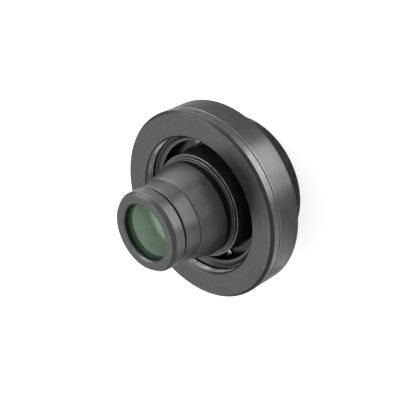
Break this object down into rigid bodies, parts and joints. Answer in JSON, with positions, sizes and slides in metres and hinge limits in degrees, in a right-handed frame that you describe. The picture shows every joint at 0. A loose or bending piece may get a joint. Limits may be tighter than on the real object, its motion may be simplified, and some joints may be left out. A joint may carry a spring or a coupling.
{
  "type": "teleconverter lens",
  "caption": "Round screw-in teleconverter lens: wide flat ring around a stepped, tapering lens barrel, with a male accessory thread behind.",
  "frame": {"origin": "on the optical axis, in the plane of the end of the rear mounting thread, which the part stands on", "axes": "+Z along the optical axis towards the small front glass, X and Y across it; the part is turned, so X and Y are free"},
  "size_m": [0.0704, 0.0704, 0.0522],
  "materials": {
    "body_metal": "black anodised, satin, fine turned grain",
    "ring_metal": "black anodised, satin, turned face",
    "clamp_metal": "black anodised, glossy",
    "sleeve_metal": "black anodised",
    "barrel_metal": "black anodised, satin",
    "bezel_metal": "black anodised, satin",
    "inner_metal": "matt black anodised",
    "retainer_metal": "matt black anodised",
    "screw_steel": "bright steel",
    "seal_rubber": "matt black rubber",
    "front_glass": "clear glass with a green antireflection coating",
    "inner_glass": "clear glass, coated",
    "rear_glass": "clear glass with a green antireflection coating"
  },
  "bodies": {
    "root": {"body_ring": "body_metal", "front_ring": "ring_metal", "body_seal": "seal_rubber", "clamp_ring": "clamp_metal", "clamp_screws": "screw_steel", "barrel_sleeve": "sleeve_metal", "lens_barrel": "barrel_metal", "barrel_seal": "seal_rubber", "front_bezel": "bezel_metal", "bezel_gasket": "seal_rubber", "front_lens": "front_glass", "front_spacer": "inner_metal", "doublet_crown": "inner_glass", "doublet_flint": "inner_glass", "baffle_tube": "inner_metal", "stop_disc": "inner_metal", "rear_first_lens": "inner_glass", "rear_second_lens": "rear_glass", "rear_spacer": "inner_metal", "rear_retainer": "retainer_metal"}
  },
  "joints": []
}
